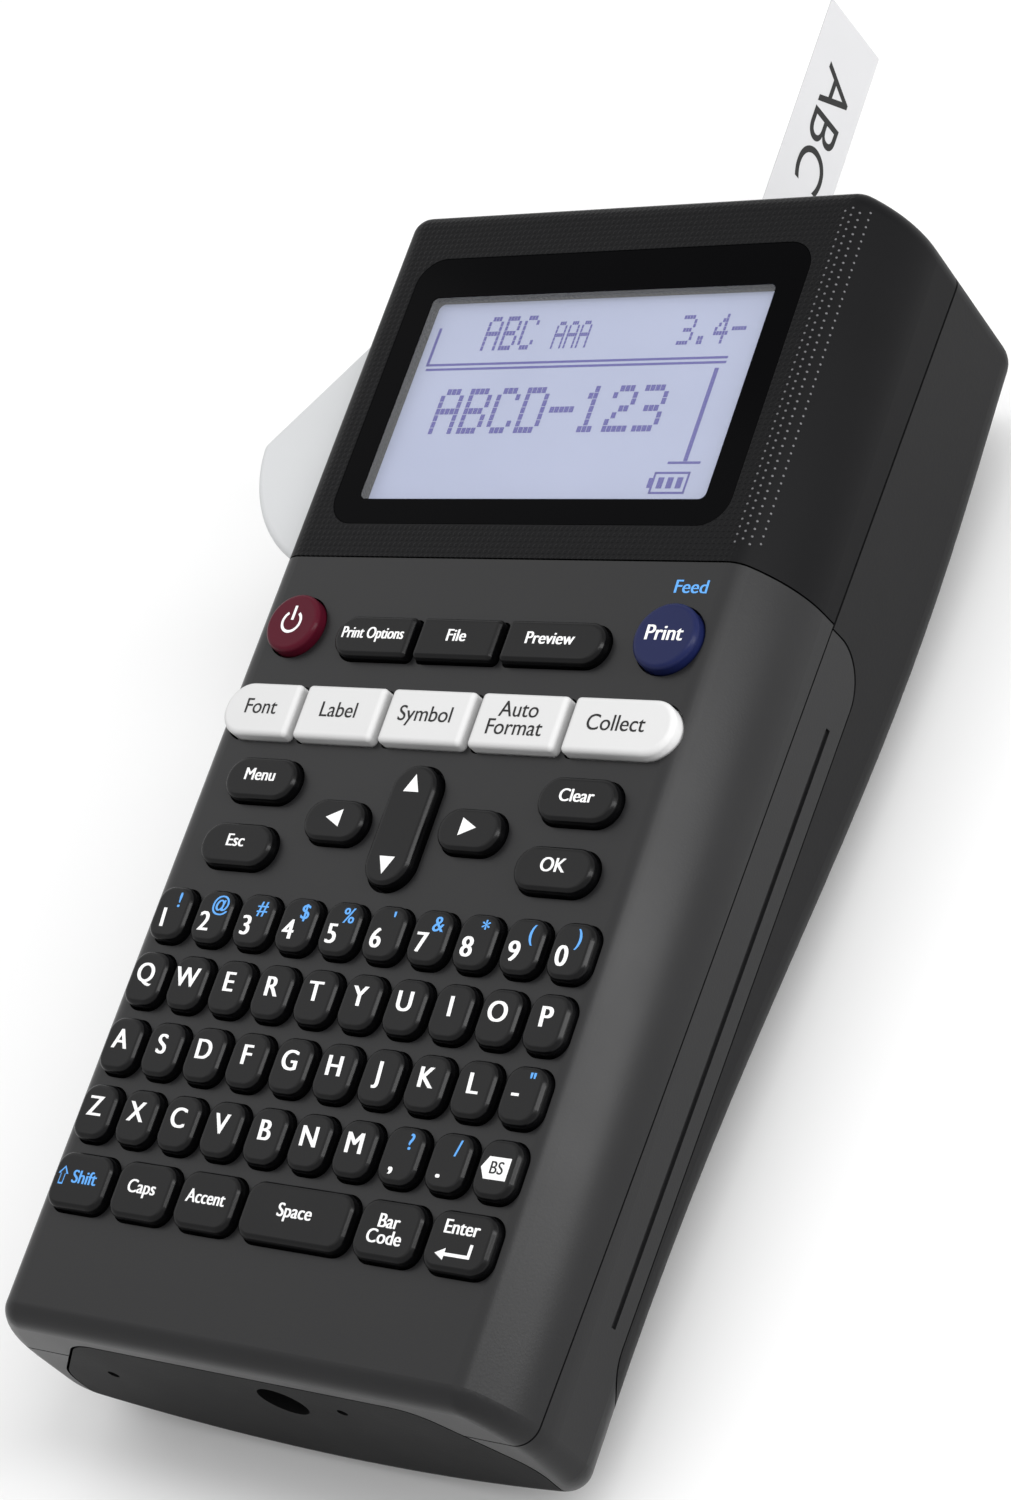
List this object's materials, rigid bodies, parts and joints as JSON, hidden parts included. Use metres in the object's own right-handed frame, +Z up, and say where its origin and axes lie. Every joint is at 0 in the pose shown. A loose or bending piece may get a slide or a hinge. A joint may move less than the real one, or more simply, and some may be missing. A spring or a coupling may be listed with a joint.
{
  "type": "label maker",
  "caption": "Handheld label maker with a full keyboard below a wide display, a side cutter lever and a strip of label tape leaving the head.",
  "frame": {"origin": "middle of the right rear foot, where it stands on the table", "axes": "+Z up from the table, +Y towards the head and the tape exit, +X to the right of the keyboard"},
  "size_m": [0.1182, 0.2661, 0.061],
  "materials": {
    "charcoal_case": "satin",
    "black_cover": "fine dotted texture",
    "dark_back": "matte",
    "gloss_black": "gloss",
    "clear_window": "clear",
    "display": "lit display",
    "key_black": "satin",
    "key_white": "satin",
    "key_maroon": "satin",
    "key_navy": "satin",
    "lever_clear": "translucent satin",
    "label": "satin film",
    "foot_rubber": "matte",
    "platen_rubber": "matte",
    "steel": "brushed",
    "zinc_screw": "plated",
    "aluminium": "satin",
    "gear_plastic": "moulded",
    "board_green": "solder mask",
    "silicone": "matte",
    "battery_wrap": "satin",
    "contact_plate": "plated",
    "jack_black": "satin",
    "cassette_grey": "satin",
    "ribbon_black": "satin"
  },
  "bodies": {
    "case": {"front_case": "charcoal_case", "display_cover": "black_cover", "display_bezel": "gloss_black", "display_window": "clear_window", "lcd_panel": "display", "rear_case": "charcoal_case", "end_panel": "charcoal_case", "rear_feet": "foot_rubber", "case_screws": "zinc_screw", "keypad_mat": "silicone", "main_board": "board_green", "battery_pack": "battery_wrap", "battery_contacts": "contact_plate", "power_jack": "jack_black", "mechanism_plate": "steel", "drive_motor": "steel", "print_head": "aluminium", "cutter_pin": "steel", "cutter_spring": "steel"},
    "cover": {"back_cover": "dark_back", "cover_feet": "foot_rubber"},
    "cassette": {"cassette_case": "cassette_grey", "label_tape": "label"},
    "tape_supply": {"tape_roll": "label"},
    "ribbon": {"ribbon_spool": "ribbon_black"},
    "platen": {"platen_gear": "gear_plastic", "platen_roller": "platen_rubber"},
    "reduction": {"reduction_gear": "gear_plastic"},
    "pinion": {"motor_pinion": "contact_plate"},
    "lever": {"cutter_lever": "lever_clear", "cutter_arm": "gear_plastic"},
    "carriage": {"cutter_carriage": "gear_plastic", "cutter_blade": "steel"},
    "up_down": {"up_down_key": "key_black"},
    "power_key_body": {"power_key": "key_maroon"},
    "print_key_body": {"print_key": "key_navy"},
    "print_options_key_body": {"print_options_key": "key_black"},
    "file_key_body": {"file_key": "key_black"},
    "preview_key_body": {"preview_key": "key_black"},
    "font_key_body": {"font_key": "key_white"},
    "label_key_body": {"label_key": "key_white"},
    "symbol_key_body": {"symbol_key": "key_white"},
    "format_key_body": {"format_key": "key_white"},
    "collection_key_body": {"collection_key": "key_white"},
    "menu_key_body": {"menu_key": "key_black"},
    "escape_key_body": {"escape_key": "key_black"},
    "left_key_body": {"left_key": "key_black"},
    "right_key_body": {"right_key": "key_black"},
    "clear_key_body": {"clear_key": "key_black"},
    "ok_key_body": {"ok_key": "key_black"},
    "digit_keys_body": {"digit_keys": "key_black"},
    "upper_letter_keys_body": {"upper_letter_keys": "key_black"},
    "middle_letter_keys_body": {"middle_letter_keys": "key_black"},
    "lower_letter_keys_body": {"lower_letter_keys": "key_black"},
    "shift_key_body": {"shift_key": "key_black"},
    "caps_key_body": {"caps_key": "key_black"},
    "accent_key_body": {"accent_key": "key_black"},
    "space_key_body": {"space_key": "key_black"},
    "bar_code_key_body": {"bar_code_key": "key_black"},
    "enter_key_body": {"enter_key": "key_black"}
  },
  "joints": [
    {"name": "power_key_press", "type": "slide", "parent": "case", "child": "power_key_body", "axis": [0, 0.1235, -0.9923], "range_m": [0, 0.001], "stiffness_N_per_m": 500},
    {"name": "print_key_press", "type": "slide", "parent": "case", "child": "print_key_body", "axis": [0, 0.1235, -0.9923], "range_m": [0, 0.001], "stiffness_N_per_m": 500},
    {"name": "print_options_key_press", "type": "slide", "parent": "case", "child": "print_options_key_body", "axis": [0, 0.1235, -0.9923], "range_m": [0, 0.001], "stiffness_N_per_m": 500},
    {"name": "file_key_press", "type": "slide", "parent": "case", "child": "file_key_body", "axis": [0, 0.1235, -0.9923], "range_m": [0, 0.001], "stiffness_N_per_m": 500},
    {"name": "preview_key_press", "type": "slide", "parent": "case", "child": "preview_key_body", "axis": [0, 0.1235, -0.9923], "range_m": [0, 0.001], "stiffness_N_per_m": 500},
    {"name": "font_key_press", "type": "slide", "parent": "case", "child": "font_key_body", "axis": [0, 0.1235, -0.9923], "range_m": [0, 0.001], "stiffness_N_per_m": 500},
    {"name": "label_key_press", "type": "slide", "parent": "case", "child": "label_key_body", "axis": [0, 0.1235, -0.9923], "range_m": [0, 0.001], "stiffness_N_per_m": 500},
    {"name": "symbol_key_press", "type": "slide", "parent": "case", "child": "symbol_key_body", "axis": [0, 0.1235, -0.9923], "range_m": [0, 0.001], "stiffness_N_per_m": 500},
    {"name": "format_key_press", "type": "slide", "parent": "case", "child": "format_key_body", "axis": [0, 0.1235, -0.9923], "range_m": [0, 0.001], "stiffness_N_per_m": 500},
    {"name": "collection_key_press", "type": "slide", "parent": "case", "child": "collection_key_body", "axis": [0, 0.1235, -0.9923], "range_m": [0, 0.001], "stiffness_N_per_m": 500},
    {"name": "menu_key_press", "type": "slide", "parent": "case", "child": "menu_key_body", "axis": [0, 0.1235, -0.9923], "range_m": [0, 0.001], "stiffness_N_per_m": 500},
    {"name": "escape_key_press", "type": "slide", "parent": "case", "child": "escape_key_body", "axis": [0, 0.1235, -0.9923], "range_m": [0, 0.001], "stiffness_N_per_m": 500},
    {"name": "left_key_press", "type": "slide", "parent": "case", "child": "left_key_body", "axis": [0, 0.1235, -0.9923], "range_m": [0, 0.001], "stiffness_N_per_m": 500},
    {"name": "right_key_press", "type": "slide", "parent": "case", "child": "right_key_body", "axis": [0, 0.1235, -0.9923], "range_m": [0, 0.001], "stiffness_N_per_m": 500},
    {"name": "clear_key_press", "type": "slide", "parent": "case", "child": "clear_key_body", "axis": [0, 0.1235, -0.9923], "range_m": [0, 0.001], "stiffness_N_per_m": 500},
    {"name": "ok_key_press", "type": "slide", "parent": "case", "child": "ok_key_body", "axis": [0, 0.1235, -0.9923], "range_m": [0, 0.001], "stiffness_N_per_m": 500},
    {"name": "digit_keys_press", "type": "slide", "parent": "case", "child": "digit_keys_body", "axis": [0, 0.1235, -0.9923], "range_m": [0, 0.001], "stiffness_N_per_m": 1500},
    {"name": "upper_letter_keys_press", "type": "slide", "parent": "case", "child": "upper_letter_keys_body", "axis": [0, 0.1235, -0.9923], "range_m": [0, 0.001], "stiffness_N_per_m": 1500},
    {"name": "middle_letter_keys_press", "type": "slide", "parent": "case", "child": "middle_letter_keys_body", "axis": [0, 0.1235, -0.9923], "range_m": [0, 0.001], "stiffness_N_per_m": 1500},
    {"name": "lower_letter_keys_press", "type": "slide", "parent": "case", "child": "lower_letter_keys_body", "axis": [0, 0.1235, -0.9923], "range_m": [0, 0.001], "stiffness_N_per_m": 1500},
    {"name": "shift_key_press", "type": "slide", "parent": "case", "child": "shift_key_body", "axis": [0, 0.1235, -0.9923], "range_m": [0, 0.001], "stiffness_N_per_m": 500},
    {"name": "caps_key_press", "type": "slide", "parent": "case", "child": "caps_key_body", "axis": [0, 0.1235, -0.9923], "range_m": [0, 0.001], "stiffness_N_per_m": 500},
    {"name": "accent_key_press", "type": "slide", "parent": "case", "child": "accent_key_body", "axis": [0, 0.1235, -0.9923], "range_m": [0, 0.001], "stiffness_N_per_m": 500},
    {"name": "space_key_press", "type": "slide", "parent": "case", "child": "space_key_body", "axis": [0, 0.1235, -0.9923], "range_m": [0, 0.001], "stiffness_N_per_m": 500},
    {"name": "bar_code_key_press", "type": "slide", "parent": "case", "child": "bar_code_key_body", "axis": [0, 0.1235, -0.9923], "range_m": [0, 0.001], "stiffness_N_per_m": 500},
    {"name": "enter_key_press", "type": "slide", "parent": "case", "child": "enter_key_body", "axis": [0, 0.1235, -0.9923], "range_m": [0, 0.001], "stiffness_N_per_m": 500},
    {"name": "up_down_rock", "type": "hinge", "parent": "case", "child": "up_down", "pos_m": [-0.029, 0.07492, 0.04499], "axis": [1, 0, 0], "range_deg": [-3, 3], "stiffness_Nm_per_rad": 0.12},
    {"name": "cutter_swing", "type": "hinge", "parent": "case", "child": "lever", "pos_m": [-0.069, 0.15152, 0.04566], "axis": [0, -0.1235, 0.9923], "range_deg": [0, 15.72], "stiffness_Nm_per_rad": 0.4, "springref_deg": -17.19},
    {"name": "carriage_slide", "type": "slide", "parent": "case", "child": "carriage", "axis": [1, 0, 0], "range_m": [-0.0105, 0.001]},
    {"name": "cover_off", "type": "slide", "parent": "case", "child": "cover", "axis": [0, 0.1235, -0.9923], "range_m": [0, 0.06]},
    {"name": "cassette_out", "type": "slide", "parent": "case", "child": "cassette", "axis": [0, 0.1235, -0.9923], "range_m": [0, 0.0301]},
    {"name": "platen_turn", "type": "hinge", "parent": "case", "child": "platen", "pos_m": [-0.0211, 0.17805, 0.02276], "axis": [0, -0.1235, 0.9923], "continuous": true},
    {"name": "reduction_turn", "type": "hinge", "parent": "case", "child": "reduction", "pos_m": [-0.00601, 0.171, 0.03498], "axis": [0, -0.1235, 0.9923], "continuous": true},
    {"name": "pinion_turn", "type": "hinge", "parent": "case", "child": "pinion", "pos_m": [0.00206, 0.15957, 0.03356], "axis": [0, -0.1235, 0.9923], "continuous": true},
    {"name": "tape_roll_turn", "type": "hinge", "parent": "cassette", "child": "tape_supply", "pos_m": [-0.043, 0.15324, 0.01967], "axis": [0, -0.1235, 0.9923], "continuous": true},
    {"name": "ribbon_turn", "type": "hinge", "parent": "cassette", "child": "ribbon", "pos_m": [-0.018, 0.15572, 0.01998], "axis": [0, -0.1235, 0.9923], "continuous": true}
  ],
  "couplings": [
    {"joint": "carriage_slide", "follows": "cutter_swing", "m_per_rad": -0.032806},
    {"joint": "cassette_out", "follows": "cover_off", "ratio": 0.5},
    {"joint": "reduction_turn", "follows": "platen_turn", "ratio": -0.6},
    {"joint": "pinion_turn", "follows": "platen_turn", "ratio": 1.5},
    {"joint": "tape_roll_turn", "follows": "platen_turn", "ratio": 0.37037},
    {"joint": "ribbon_turn", "follows": "platen_turn", "ratio": -0.71429}
  ]
}
